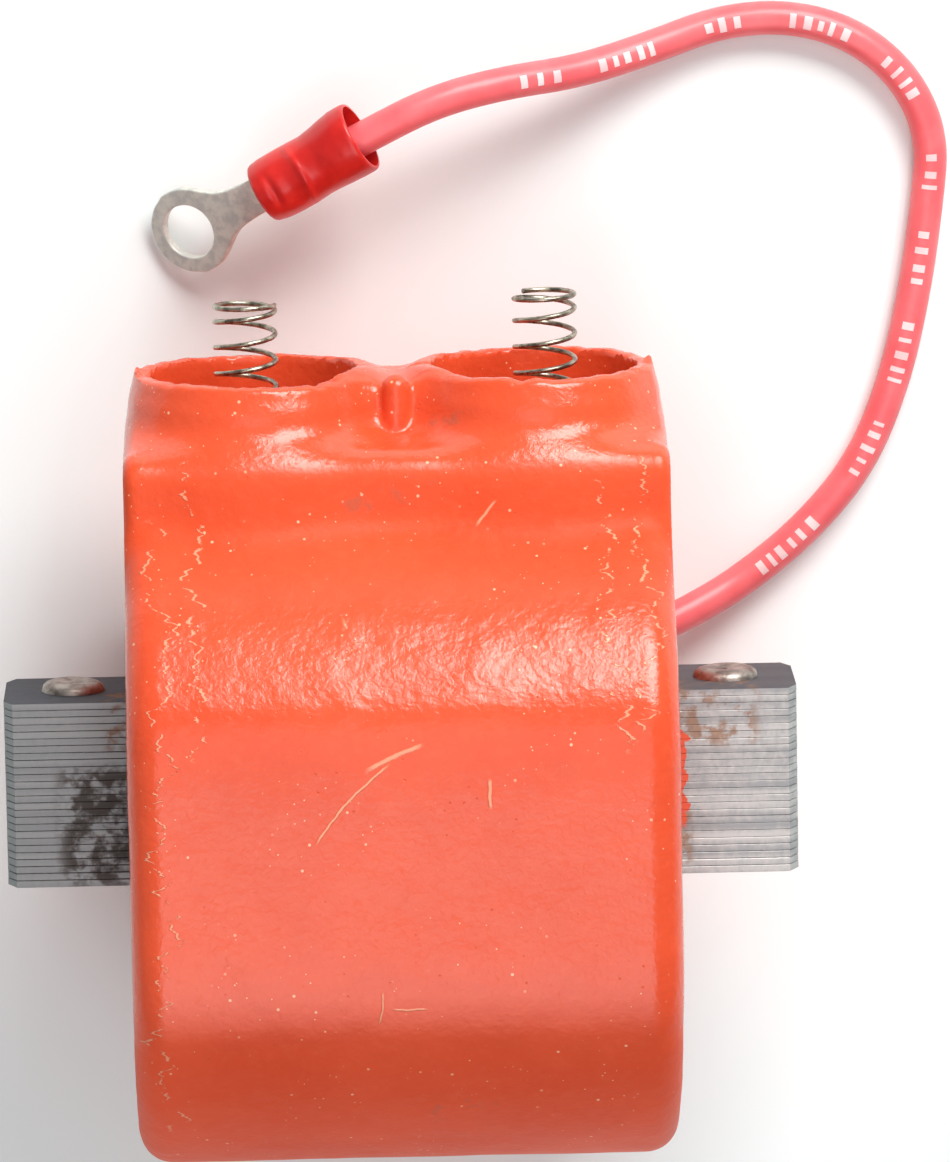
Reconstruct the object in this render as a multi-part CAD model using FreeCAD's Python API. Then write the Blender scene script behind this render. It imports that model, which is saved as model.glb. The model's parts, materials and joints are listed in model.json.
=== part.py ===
import FreeCAD, Part
import math
import os

V = FreeCAD.Vector

# Twin-tower ignition coil of a small engine, in millimetres.
# It lies on its flat back: +X runs along the core, +Y towards the two high-tension towers
# and +Z out of the front. The origin is on the back, straight below the core's axis.

# moulded housing
BODY_DEPTH = 56.0
BODY_HALF_WIDTH = 23.4
DRUM_R = 30.2
DRUM_Y = -3.2
BODY_EDGE_R = 2.8
MID_Z = BODY_DEPTH / 2

# high-tension towers
TOWER_X = 12.2
TOWER_R = 11.1
TOWER_FOOT_R = 12.4
NECK_Y = 32.4
SHOULDER_HALF_DEPTH = 13.3
SHOULDER_TOP_Y = 30.2
SHOULDER_EDGE_R = 1.2
SOCKET_R = 8.9
LIP_Y = 36.2
SOCKET_FLOOR_Y = 22.2
LIP_BEVEL_IN = 0.8
LIP_BEVEL_DOWN = 2.5
WEB_HALF_WIDTH = 8.0
WEB_HALF_DEPTH = 5.2
WEB_TOP_Y = 35.6
RIB_R = 1.15
RIB_X = 0.1
RIB_FOOT_Y = 32.2

# laminated core
CORE_LENGTH = 68.7
CORE_DEPTH = 12.0
PLATE_COUNT = 26
PLATE_T = 0.625
CORE_HEIGHT = PLATE_COUNT * PLATE_T
PLATE_CORNER_X = 0.8
PLATE_CORNER_Z = 1.6
RIVET_X = 28.4
RIVET_SHANK_R = 1.6
RIVET_HEAD_R = 2.8
RIVET_HEAD_H = 0.9

# coil pack, each layer round the one before
TUBE_WALL = 1.0
TUBE_HALF_LENGTH = 19.0
PRIMARY_BUILD = 2.2
PRIMARY_HALF_LENGTH = 17.5
WRAP_T = 0.4
SECONDARY_DEPTH = 36.0
SECONDARY_HEIGHT = 38.0
SECONDARY_HALF_LENGTH = 16.0
SECONDARY_CORNER_R = 11.0
OUTER_WRAP_T = 0.5
CHEEK_T = 1.5
CHEEK_DEPTH = 34.0
CHEEK_HEIGHT = 37.0
CHEEK_CORNER_R = 8.0

# brass cups at the bottom of the sockets, and their wires
CUP_R = 5.0
CUP_FLOOR_T = 0.6
CUP_RIM_H = 1.2
CUP_RIM_T = 0.8
CUP_STEM_R = 1.2
CUP_STEM_DOWN = 1.3
HT_WIRE_R = 0.3
HT_WIRE_END_Y = 15.0

# primary's two ends: one earthed on the core, the other spliced to the lead
TAIL_WIRE_R = 0.35
TAIL_OUT = 2.0
SOLDER_R = 1.3
SPLICE_R = 0.9
SPLICE_TOP_Z = MID_Z - 3.0
SPLICE_LENGTH = 5.0
SPLICE_TO_BEND = 2.0
LEAD_ENTRY_BACK = 1.4

# contact springs
SPRING_OUTER_R = 2.83
SPRING_WIRE_R = 0.225
SPRING_PITCH = 2.35
SPRING_CLOSED_TURNS = 0.88
SPRING_EASE = 0.5
SPRING_TOPS = {"left": 41.85, "right": 42.3}
SPRING_X = {"left": -12.75, "right": 13.15}
SPRING_TOP_PHASE = {"left": 350.0, "right": 133.0}
SPRING_STEPS_PER_TURN = 24

# lead
LEAD_R = 1.5
LEAD_Z = 1.52
LEAD_ARC_SHARE = 0.45

# crimped ring terminal, in its own frame: x along the barrel towards the lead, z up
TERMINAL_AT = V(-11.1, 48.6, 7.65)
TERMINAL_YAW = 29.4
TERMINAL_RISE = 10.8
TERMINAL_ROLL = -1.9
BARREL_R = 1.55
BARREL_LENGTH = 5.2
BARREL_FRONT = -0.4
CONDUCTOR_R = 0.6
TONGUE_T = 0.8
TONGUE_HALF_WIDTH = 1.6
TONGUE_STRAIGHT = 1.3
TONGUE_BEND = 21.7
TONGUE_BEND_R = 5.2
TONGUE_TO_RING = 5.45
RING_R = 3.85
RING_HOLE_R = 2.5
TONGUE_ROOT = -0.05
NECK_SHOULDER = 3.0
NECK_END = 1.5
BORE_END_T = 0.8
PAST_SLEEVE = 10.8
SLEEVE_LENGTH = 10.4
SLEEVE_BORE_R = BARREL_R + 0.05
SLEEVE_NOSE = [(2.6, 0), (2.75, 0.15), (2.9, 1.1), (2.9, 5.6)]
SLEEVE_BELL = [(3.2, 7.9), (3.3, 9.0), (3.25, SLEEVE_LENGTH)]
SLEEVE_INSIDE = [(2.95, SLEEVE_LENGTH), (2.85, 7.9), (2.4, 6.2), (SLEEVE_BORE_R, BARREL_LENGTH)]


def export(name, shape):
    shape.exportStep(os.path.join("parts", name + ".step"))
    print(name, len(shape.Solids), "solids", round(shape.Volume, 2), "mm3", shape.isValid())


def box_between(low, high):
    size = high - low
    return Part.makeBox(size.x, size.y, size.z, low)


def rounded_prism(half_length, height, depth, corner_r):
    """Bar along X round the core's axis, height along Y and depth along Z, with round long edges."""
    low = V(-half_length, -height / 2, MID_Z - depth / 2)
    high = V(half_length, height / 2, MID_Z + depth / 2)
    bar = box_between(low, high)
    long_edges = [e for e in bar.Edges if e.BoundBox.XLength > half_length]
    return bar.makeFillet(corner_r, long_edges)


def wire_through(points, radius):
    """Round wire with ball corners."""
    pieces = []
    for start, end in zip(points, points[1:]):
        run = end - start
        pieces.append(Part.makeCylinder(radius, run.Length, start, run))
    for corner in points[1:-1]:
        pieces.append(Part.makeSphere(radius, corner))
    return pieces[0].fuse(pieces[1:]).removeSplitter()


def revolved(profile, base, axis):
    """Solid of a closed (radius, height) profile turned about an axis."""
    points = [V(r, 0, h) for r, h in profile]
    face = Part.Face(Part.makePolygon(points + points[:1]))
    solid = face.revolve(V(0, 0, 0), V(0, 0, 1), 360)
    solid.Placement = FreeCAD.Placement(base, FreeCAD.Rotation(V(0, 0, 1), axis))
    return solid


def core_laminations():
    """Plates stacked along Y, with cut corners and two rivet holes."""
    half_x = CORE_LENGTH / 2
    half_z = CORE_DEPTH / 2
    outline = []
    for sx, sz in ((1, 1), (-1, 1), (-1, -1), (1, -1)):
        along_x = V(sx * (half_x - PLATE_CORNER_X), 0, MID_Z + sz * half_z)
        along_z = V(sx * half_x, 0, MID_Z + sz * (half_z - PLATE_CORNER_Z))
        outline += [along_z, along_x] if sx * sz > 0 else [along_x, along_z]
    plates = []
    for number in range(PLATE_COUNT):
        y = -CORE_HEIGHT / 2 + number * PLATE_T
        points = [p + V(0, y, 0) for p in outline]
        plate = Part.Face(Part.makePolygon(points + points[:1])).extrude(V(0, PLATE_T, 0))
        for sx in (-1, 1):
            at = V(sx * RIVET_X, y, MID_Z)
            plate = plate.cut(Part.makeCylinder(RIVET_SHANK_R, PLATE_T, at, V(0, 1, 0)))
        plates.append(plate)
    return Part.makeCompound(plates)


def rivet(x):
    """Shank through the stack with a low domed head on each side."""
    half = CORE_HEIGHT / 2
    body = Part.makeCylinder(RIVET_SHANK_R, CORE_HEIGHT, V(x, -half, MID_Z), V(0, 1, 0))
    ball_r = (RIVET_HEAD_R ** 2 + RIVET_HEAD_H ** 2) / (2 * RIVET_HEAD_H)
    for side in (-1, 1):
        ball = Part.makeSphere(ball_r, V(x, side * (half + RIVET_HEAD_H - ball_r), MID_Z))
        near = side * half
        far = side * (half + 2 * RIVET_HEAD_H)
        slab = box_between(
            V(x - RIVET_HEAD_R, min(near, far), MID_Z - RIVET_HEAD_R),
            V(x + RIVET_HEAD_R, max(near, far), MID_Z + RIVET_HEAD_R),
        )
        body = body.fuse(ball.common(slab))
    return body.removeSplitter()


def pack_layer(half_length, past_core, corner_r):
    """Solid bar that stands out from the core by the same amount on all four sides."""
    return rounded_prism(
        half_length, CORE_HEIGHT + 2 * past_core, CORE_DEPTH + 2 * past_core, corner_r
    )


def pack_bars():
    """Core, tube, primary, its wrap, secondary and the outer wrap, each as a bar without a hole."""
    core = box_between(
        V(-CORE_LENGTH, -CORE_HEIGHT / 2, MID_Z - CORE_DEPTH / 2),
        V(CORE_LENGTH, CORE_HEIGHT / 2, MID_Z + CORE_DEPTH / 2),
    )
    primary_out = TUBE_WALL + PRIMARY_BUILD
    wrap_out = primary_out + WRAP_T
    tube = pack_layer(TUBE_HALF_LENGTH, TUBE_WALL, TUBE_WALL)
    primary = pack_layer(PRIMARY_HALF_LENGTH, primary_out, primary_out)
    wrap = pack_layer(PRIMARY_HALF_LENGTH, wrap_out, wrap_out)
    secondary = rounded_prism(
        SECONDARY_HALF_LENGTH, SECONDARY_HEIGHT, SECONDARY_DEPTH, SECONDARY_CORNER_R
    )
    outer = rounded_prism(
        SECONDARY_HALF_LENGTH,
        SECONDARY_HEIGHT + 2 * OUTER_WRAP_T,
        SECONDARY_DEPTH + 2 * OUTER_WRAP_T,
        SECONDARY_CORNER_R + OUTER_WRAP_T,
    )
    return core, tube, primary, wrap, secondary, outer


def coil_pack():
    """Paper tube, primary, its wrap, secondary and the outer wrap, from the inside out."""
    core, tube, primary, wrap, secondary, outer = pack_bars()
    return {
        "core_paper_tube": tube.cut(core),
        "primary_winding": primary.cut(tube),
        "primary_wrap": wrap.cut(primary),
        "secondary_winding": secondary.cut(wrap),
        "outer_wrap": outer.cut(secondary),
    }


def tail_level():
    """Height along Y of the middle of the primary's build, where its wires come out."""
    return CORE_HEIGHT / 2 + TUBE_WALL + PRIMARY_BUILD / 2


def end_cheek(side):
    """Fibre washer on the paper tube's end, with a hole for the primary's wire."""
    inner = PRIMARY_HALF_LENGTH
    cheek = rounded_prism(inner + CHEEK_T, CHEEK_HEIGHT, CHEEK_DEPTH, CHEEK_CORNER_R)
    low = V(min(side * inner, side * (inner + CHEEK_T)), -CHEEK_HEIGHT, 0)
    high = V(max(side * inner, side * (inner + CHEEK_T)), CHEEK_HEIGHT, BODY_DEPTH)
    cheek = cheek.common(box_between(low, high))
    tube = pack_layer(2 * TUBE_HALF_LENGTH, TUBE_WALL, TUBE_WALL)
    hole = Part.makeCylinder(
        TAIL_WIRE_R, 2 * CHEEK_T, V(side * inner, tail_level(), MID_Z), V(side, 0, 0)
    )
    return cheek.cut(tube).cut(hole)


def ht_terminal(side):
    """Brass cup that holds the spring's foot, with a stem into the resin below it."""
    floor_top = CUP_FLOOR_T
    rim_top = floor_top + CUP_RIM_H
    profile = [
        (0, -CUP_STEM_DOWN),
        (CUP_STEM_R, -CUP_STEM_DOWN),
        (CUP_STEM_R, 0),
        (CUP_R, 0),
        (CUP_R, rim_top),
        (CUP_R - CUP_RIM_T, rim_top),
        (CUP_R - CUP_RIM_T, floor_top),
        (0, floor_top),
    ]
    return revolved(profile, V(side * TOWER_X, SOCKET_FLOOR_Y, MID_Z), V(0, 1, 0))


def ht_lead(side):
    """Wire from the cup's stem out past the end of the secondary, and down into its end face."""
    start_y = SOCKET_FLOOR_Y - CUP_STEM_DOWN
    over_y = SECONDARY_HEIGHT / 2 + OUTER_WRAP_T + 3 * HT_WIRE_R
    beside_x = SECONDARY_HALF_LENGTH + 2 * HT_WIRE_R
    points = [
        V(side * TOWER_X, start_y, MID_Z),
        V(side * TOWER_X, over_y, MID_Z),
        V(side * beside_x, over_y, MID_Z),
        V(side * beside_x, HT_WIRE_END_Y, MID_Z),
        V(side * SECONDARY_HALF_LENGTH, HT_WIRE_END_Y, MID_Z),
    ]
    return wire_through(points, HT_WIRE_R)


def ground_wire():
    """Start of the primary, out through the left cheek and down on to the core."""
    x = -TUBE_HALF_LENGTH - TAIL_OUT
    points = [
        V(-PRIMARY_HALF_LENGTH, tail_level(), MID_Z),
        V(x, tail_level(), MID_Z),
        V(x, CORE_HEIGHT / 2, MID_Z),
    ]
    return wire_through(points, TAIL_WIRE_R)


def ground_solder(wire):
    """Lump of solder that joins the wire to the top plate."""
    x = -TUBE_HALF_LENGTH - TAIL_OUT
    ball = Part.makeSphere(SOLDER_R, V(x, CORE_HEIGHT / 2, MID_Z))
    above = box_between(
        V(x - SOLDER_R, CORE_HEIGHT / 2, MID_Z - SOLDER_R),
        V(x + SOLDER_R, CORE_HEIGHT / 2 + SOLDER_R, MID_Z + SOLDER_R),
    )
    return ball.common(above).cut(wire)


def splice_top():
    """Where the primary's finish goes into its splice with the lead."""
    return V(TUBE_HALF_LENGTH + TAIL_OUT, tail_level(), SPLICE_TOP_Z)


def primary_tail():
    """Finish of the primary, out through the right cheek to the splice."""
    splice = splice_top()
    points = [
        V(PRIMARY_HALF_LENGTH, tail_level(), MID_Z),
        V(splice.x, splice.y, MID_Z),
        splice,
    ]
    return wire_through(points, TAIL_WIRE_R)


def lead_splice():
    """Soldered ferrule between the primary's finish and the lead."""
    return Part.makeCylinder(SPLICE_R, SPLICE_LENGTH, splice_top(), V(0, 0, -1))


def terminal_placement():
    """Where the ring terminal lies: rolled, raised towards the lead, then turned in plan."""
    yaw = FreeCAD.Rotation(V(0, 0, 1), TERMINAL_YAW)
    rise = FreeCAD.Rotation(V(0, 1, 0), -TERMINAL_RISE)
    roll = FreeCAD.Rotation(V(1, 0, 0), TERMINAL_ROLL)
    return FreeCAD.Placement(TERMINAL_AT, yaw.multiply(rise).multiply(roll))


def lead_route():
    """Points of the lead from just inside the housing to the terminal's barrel."""
    place = terminal_placement()
    barrel_end = place.multVec(V(BARREL_LENGTH, 0, 0))
    past_sleeve = place.multVec(V(PAST_SLEEVE, 0, 0))
    return [
        V(22.4, 7.9, 5.0),
        V(26.8, 9.6, 3.3),
        V(31.6, 12.1, LEAD_Z),
        V(37.2, 16.6, LEAD_Z),
        V(42.2, 22.5, LEAD_Z),
        V(45.3, 30.2, LEAD_Z),
        V(47.1, 38.2, LEAD_Z),
        V(48.2, 45.6, LEAD_Z),
        V(48.8, 51.6, LEAD_Z),
        V(46.6, 56.9, LEAD_Z),
        V(42.2, 60.9, LEAD_Z),
        V(36.4, 62.8, LEAD_Z),
        V(30.0, 62.5, LEAD_Z),
        V(23.6, 60.3, 2.6),
        V(17.1, 58.6, 4.9),
        V(10.7, 58.1, 7.6),
        V(4.35, 56.8, 9.4),
        past_sleeve,
        barrel_end,
    ]


def corner_arc(before, corner, after):
    """Tangent arc at a corner of the route, and its radius."""
    into = corner - before
    out = after - corner
    cut = LEAD_ARC_SHARE * min(into.Length, out.Length)
    turn = into.getAngle(out)
    radius = cut / math.tan(turn / 2)
    start = corner - into.normalize() * cut
    end = corner + out.normalize() * cut
    inward = (end + start) * 0.5 - corner
    to_centre = math.sqrt(radius ** 2 + cut ** 2)
    middle = corner + inward.normalize() * (to_centre - radius)
    return Part.Arc(start, middle, end).toShape(), radius


def lead_wire():
    """Tube of straight runs joined by tangent arcs."""
    route = lead_route()
    edges = []
    at = route[0]
    radii = []
    for before, corner, after in zip(route, route[1:], route[2:]):
        arc, radius = corner_arc(before, corner, after)
        radii.append(round(radius, 1))
        edges.append(Part.LineSegment(at, arc.Vertexes[0].Point).toShape())
        edges.append(arc)
        at = arc.Vertexes[-1].Point
    edges.append(Part.LineSegment(at, route[-1]).toShape())
    path = Part.Wire(edges)
    ring = Part.Wire(Part.makeCircle(LEAD_R, route[0], route[1] - route[0]))
    tube = path.makePipeShell([ring], True, False)
    section = math.pi * LEAD_R ** 2
    ratio = tube.Volume / section / path.Length
    print("lead length", round(path.Length, 2), "volume ratio", round(ratio, 4))
    print("lead radii", radii)
    return tube


def lead_inner():
    """The lead inside the housing, from the splice down to where it comes out."""
    start, outside = lead_route()[:2]
    back = (start - outside).normalize() * LEAD_ENTRY_BACK
    points = [
        splice_top() - V(0, 0, SPLICE_LENGTH),
        splice_top() - V(0, 0, SPLICE_LENGTH + SPLICE_TO_BEND),
        start + back,
        start,
    ]
    return wire_through(points, LEAD_R)


def tongue_strip():
    """Side view of the bent tongue, as wide as the ring: flat, bent down, flat again."""
    half_t = TONGUE_T / 2
    level = -BARREL_R + half_t
    bend = math.radians(TONGUE_BEND)
    centre = V(-TONGUE_STRAIGHT, 0, level - TONGUE_BEND_R)
    run = TONGUE_TO_RING + 2 * RING_R

    def ray(angle, radius):
        return centre + V(-math.sin(angle), 0, math.cos(angle)) * radius

    along = V(-math.cos(bend), 0, -math.sin(bend))
    upper = TONGUE_BEND_R + half_t
    lower = TONGUE_BEND_R - half_t
    start_top = V(TONGUE_ROOT, 0, level + half_t)
    start_low = V(TONGUE_ROOT, 0, level - half_t)
    edges = [
        Part.LineSegment(start_low, start_top).toShape(),
        Part.LineSegment(start_top, ray(0, upper)).toShape(),
        Part.Arc(ray(0, upper), ray(bend / 2, upper), ray(bend, upper)).toShape(),
        Part.LineSegment(ray(bend, upper), ray(bend, upper) + along * run).toShape(),
        Part.LineSegment(ray(bend, upper) + along * run, ray(bend, lower) + along * run).toShape(),
        Part.LineSegment(ray(bend, lower) + along * run, ray(bend, lower)).toShape(),
        Part.Arc(ray(bend, lower), ray(bend / 2, lower), ray(0, lower)).toShape(),
        Part.LineSegment(ray(0, lower), start_low).toShape(),
    ]
    face = Part.Face(Part.Wire(edges))
    face.translate(V(0, -RING_R, 0))
    ring_centre = ray(bend, TONGUE_BEND_R) + along * TONGUE_TO_RING
    normal = V(-math.sin(bend), 0, math.cos(bend))
    return face.extrude(V(0, 2 * RING_R, 0)), ring_centre, normal


def ring_terminal():
    """Stamped ring and tongue with the crimped barrel behind it."""
    strip, ring_centre, normal = tongue_strip()
    below = ring_centre - normal * RING_R
    disc = Part.makeCylinder(RING_R, 2 * RING_R, below, normal)
    neck_x = ring_centre.x + NECK_END
    neck_outline = [
        V(TONGUE_ROOT, -TONGUE_HALF_WIDTH, 0),
        V(TONGUE_ROOT, TONGUE_HALF_WIDTH, 0),
        V(-TONGUE_STRAIGHT, TONGUE_HALF_WIDTH, 0),
        V(neck_x, NECK_SHOULDER, 0),
        V(neck_x, -NECK_SHOULDER, 0),
        V(-TONGUE_STRAIGHT, -TONGUE_HALF_WIDTH, 0),
    ]
    low_z = ring_centre.z - RING_R
    neck = Part.Face(Part.makePolygon(neck_outline + neck_outline[:1]))
    neck.translate(V(0, 0, low_z))
    neck = neck.extrude(V(0, 0, -low_z))
    plate = strip.common(disc.fuse(neck))
    hole = Part.makeCylinder(RING_HOLE_R, 2 * RING_R, below, normal)
    front = V(BARREL_FRONT, 0, 0)
    barrel = Part.makeCylinder(BARREL_R, BARREL_LENGTH - BARREL_FRONT, front, V(1, 0, 0))
    bore = Part.makeCylinder(CONDUCTOR_R, BARREL_LENGTH, V(BARREL_FRONT + BORE_END_T, 0, 0), V(1, 0, 0))
    terminal = plate.cut(hole).fuse(barrel).cut(bore).removeSplitter()
    place = terminal_placement()
    at = place.multVec(ring_centre)
    axis = place.Rotation.multVec(normal)
    print("ring centre", [round(c, 3) for c in at], "axis", [round(c, 4) for c in axis])
    terminal.Placement = place
    return terminal


def lead_conductor_end():
    """Bared strands inside the barrel."""
    start = BARREL_FRONT + BORE_END_T
    strands = Part.makeCylinder(CONDUCTOR_R, BARREL_LENGTH - start, V(start, 0, 0), V(1, 0, 0))
    strands.Placement = terminal_placement()
    return strands


def terminal_sleeve():
    """Insulating sleeve: snug on the barrel, then a bell that the lead goes into."""
    profile = [(SLEEVE_BORE_R, 0)] + SLEEVE_NOSE + SLEEVE_BELL + SLEEVE_INSIDE
    sleeve = revolved(profile, V(0, 0, 0), V(1, 0, 0))
    sleeve.Placement = terminal_placement().multiply(sleeve.Placement)
    return sleeve


def eased(turns):
    """Turns of climb at full pitch, starting softly after the closed turn."""
    past = turns - SPRING_CLOSED_TURNS
    return (math.hypot(past, SPRING_EASE) + past) / 2


def spring_levels(side):
    """Height of the centreline at the foot and at the top, and the number of turns between."""
    foot = SOCKET_FLOOR_Y + CUP_FLOOR_T + SPRING_WIRE_R
    top = SPRING_TOPS[side] - SPRING_WIRE_R
    turns = (top - foot) / SPRING_PITCH + 2 * (SPRING_CLOSED_TURNS + eased(0))
    return foot, top, turns


def spring_point(side, turn):
    """Centreline point, its turns counted from the foot. Both ends are closed and flat."""
    foot, top, turns = spring_levels(side)
    from_foot = foot + SPRING_PITCH * (eased(turn) - eased(0))
    from_top = top - SPRING_PITCH * (eased(turns - turn) - eased(0))
    share = turn / turns
    angle = math.radians(SPRING_TOP_PHASE[side]) + 2 * math.pi * (turn - turns)
    radius = SPRING_OUTER_R - SPRING_WIRE_R
    return V(
        SPRING_X[side] + radius * math.cos(angle),
        from_foot * (1 - share) + from_top * share,
        MID_Z - radius * math.sin(angle),
    )


def spring_stretch(side, first, last):
    """Round wire along part of the spring. The points are evenly spaced in turns."""
    steps = max(8, int(round((last - first) * SPRING_STEPS_PER_TURN)))
    turns = [first + (last - first) * i / steps for i in range(steps + 1)]
    centreline = Part.BSplineCurve()
    centreline.interpolate([spring_point(side, t) for t in turns])
    path = Part.Wire(centreline.toShape())
    start = centreline.value(centreline.FirstParameter)
    heading = centreline.tangent(centreline.FirstParameter)[0]
    ring = Part.Wire(Part.makeCircle(SPRING_WIRE_R, start, heading))
    return path.makePipeShell([ring], True, True)


def contact_spring(side):
    """The part of the spring that shortens: its closed foot and all open turns."""
    turns = spring_levels(side)[2]
    return spring_stretch(side, 0, turns - 1)


def spring_tip(side):
    """The closed top turn, which moves as one piece."""
    turns = spring_levels(side)[2]
    return spring_stretch(side, turns - 1, turns)


def drum():
    """Round body between a flat front and a flat back, with rounded rims."""
    whole = Part.makeCylinder(
        DRUM_R, 2 * BODY_HALF_WIDTH, V(-BODY_HALF_WIDTH, DRUM_Y, MID_Z), V(1, 0, 0)
    )
    slab = box_between(V(-2 * DRUM_R, -2 * DRUM_R, 0), V(2 * DRUM_R, 2 * DRUM_R, BODY_DEPTH))
    body = whole.common(slab)
    rims = [e for e in body.Edges if e.BoundBox.XLength < 0.01]
    return body.makeFillet(BODY_EDGE_R, rims)


def tower(side):
    """Tower from inside the drum: a wide foot, a narrower neck and a bevelled lip."""
    profile = [
        (0, 0),
        (TOWER_FOOT_R, 0),
        (TOWER_FOOT_R, SHOULDER_TOP_Y),
        (TOWER_R, NECK_Y),
        (TOWER_R, LIP_Y - LIP_BEVEL_DOWN),
        (TOWER_R - LIP_BEVEL_IN, LIP_Y),
        (0, LIP_Y),
    ]
    whole = revolved(profile, V(side * TOWER_X, 0, MID_Z), V(0, 1, 0))
    sides = box_between(V(-BODY_HALF_WIDTH, 0, 0), V(BODY_HALF_WIDTH, LIP_Y, BODY_DEPTH))
    return whole.common(sides)


def shoulder():
    """Straight step across the body's whole width, between the drum and the towers."""
    block = box_between(
        V(-BODY_HALF_WIDTH, 0, MID_Z - SHOULDER_HALF_DEPTH),
        V(BODY_HALF_WIDTH, SHOULDER_TOP_Y, MID_Z + SHOULDER_HALF_DEPTH),
    )
    long_edges = [e for e in block.Edges if e.BoundBox.XLength > BODY_HALF_WIDTH]
    top_edges = [e for e in long_edges if e.BoundBox.YMin > SHOULDER_TOP_Y / 2]
    return block.makeFillet(SHOULDER_EDGE_R, top_edges)


def web():
    """Wall that joins the two towers, with a half-round rib down its front."""
    wall = box_between(
        V(-WEB_HALF_WIDTH, 0, MID_Z - WEB_HALF_DEPTH),
        V(WEB_HALF_WIDTH, WEB_TOP_Y, MID_Z + WEB_HALF_DEPTH),
    )
    foot = V(RIB_X, RIB_FOOT_Y, MID_Z + WEB_HALF_DEPTH)
    rib = Part.makeCylinder(RIB_R, WEB_TOP_Y - RIB_FOOT_Y, foot, V(0, 1, 0))
    return wall.fuse([rib, Part.makeSphere(RIB_R, foot)])


def coil_housing(inside):
    """Resin body cast round the coil pack, with an open socket in each tower."""
    body = drum().fuse([shoulder(), tower(-1), tower(1), web()]).removeSplitter()
    for side in (-1, 1):
        at = V(side * TOWER_X, SOCKET_FLOOR_Y, MID_Z)
        body = body.cut(Part.makeCylinder(SOCKET_R, LIP_Y, at, V(0, 1, 0)))
    for shape in inside:
        body = body.cut(shape)
    return body


def filled_pack():
    """Everything from the core's middle out to the outer wrap, without gaps between the layers."""
    core, tube, _, wrap, _, outer = pack_bars()
    return outer.fuse([wrap, tube, core])


def main():
    os.makedirs("parts", exist_ok=True)
    ground = ground_wire()
    solder = ground_solder(ground)
    tail = primary_tail()
    splice = lead_splice()
    inner = lead_inner()
    lead = lead_wire()
    nodes = {
        "core_laminations": core_laminations(),
        "core_rivets": Part.makeCompound([rivet(-RIVET_X), rivet(RIVET_X)]),
        **coil_pack(),
        "ground_wire": ground,
        "ground_solder": solder,
        "primary_tail": tail,
        "lead_splice": splice,
        "lead_inner": inner,
        "lead_wire": lead,
        "lead_conductor_end": lead_conductor_end(),
        "ring_terminal": ring_terminal(),
        "terminal_sleeve": terminal_sleeve(),
    }
    inside = [filled_pack(), ground, solder, tail, splice, inner, lead]
    for side, sign in (("left", -1), ("right", 1)):
        nodes["end_cheek_" + side] = end_cheek(sign)
        nodes["ht_terminal_" + side] = ht_terminal(sign)
        nodes["ht_lead_" + side] = ht_lead(sign)
        nodes["contact_spring_" + side] = contact_spring(side)
        nodes["spring_tip_" + side] = spring_tip(side)
        inside += [nodes[kind + side] for kind in ("end_cheek_", "ht_terminal_", "ht_lead_")]
    nodes["coil_housing"] = coil_housing(inside)
    for name in sorted(nodes):
        export(name, nodes[name])


main()
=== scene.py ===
import json
import math
from itertools import product

import bmesh
import bpy
import numpy as np
from mathutils import Matrix, Vector


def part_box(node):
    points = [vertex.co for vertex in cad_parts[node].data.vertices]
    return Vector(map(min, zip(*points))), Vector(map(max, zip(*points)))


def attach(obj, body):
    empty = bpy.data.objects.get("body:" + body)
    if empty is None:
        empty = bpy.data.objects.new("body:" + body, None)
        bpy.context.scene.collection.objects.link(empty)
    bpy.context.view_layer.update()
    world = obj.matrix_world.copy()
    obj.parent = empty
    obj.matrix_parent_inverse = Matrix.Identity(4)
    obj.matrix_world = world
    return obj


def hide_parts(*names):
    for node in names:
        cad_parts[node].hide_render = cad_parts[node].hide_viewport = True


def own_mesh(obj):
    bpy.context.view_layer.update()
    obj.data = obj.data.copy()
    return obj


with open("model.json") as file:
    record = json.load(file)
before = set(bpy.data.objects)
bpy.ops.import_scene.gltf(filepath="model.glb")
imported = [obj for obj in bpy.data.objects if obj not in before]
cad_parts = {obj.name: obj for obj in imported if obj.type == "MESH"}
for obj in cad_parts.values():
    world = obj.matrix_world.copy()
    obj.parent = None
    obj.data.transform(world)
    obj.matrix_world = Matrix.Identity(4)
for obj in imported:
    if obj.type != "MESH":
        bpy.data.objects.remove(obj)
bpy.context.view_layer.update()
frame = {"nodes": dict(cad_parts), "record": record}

# Lengths are in millimetres, in the CAD model's own frame: +X along the core, +Y towards the
# towers, +Z out of the flat front. Meshes are scaled to metres when they are made. The floor,
# the lights, the camera's clipping and the distance for merging points are given in metres.
MM = 0.001

BODY_LOW, BODY_HIGH = (np.array(corner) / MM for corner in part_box("coil_housing"))
CORE_LOW, CORE_HIGH = (np.array(corner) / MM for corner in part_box("core_laminations"))
MID_Z = (BODY_LOW[2] + BODY_HIGH[2]) / 2
HALF_WIDTH = BODY_HIGH[0]
HALF_DEPTH = (BODY_HIGH[2] - BODY_LOW[2]) / 2
LIP_Y = BODY_HIGH[1]
DRUM_R = 30.2
DRUM_Y = BODY_LOW[1] + DRUM_R
MOUNTS = {m["name"]: m for m in frame["record"]["mounts"]}
TOWER_X = MOUNTS["ht_socket_right"]["pos_m"][0] / MM
SOCKET_R = 8.9
CUP_STEM_DOWN = 1.3
SOCKET_FLOOR_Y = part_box("ht_terminal_left")[0].y / MM + CUP_STEM_DOWN
SHOULDER_HALF_DEPTH = 13.2
SHOULDER_TOP_Y = 30.3
SHOULDER_WAVE = 0.25
WEB_HALF_DEPTH = 5.4
WEB_DROP = 0.75
RIB_R = 1.15
RIB_LOW_Y, RIB_HIGH_Y = 32.2, 35.0
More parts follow.
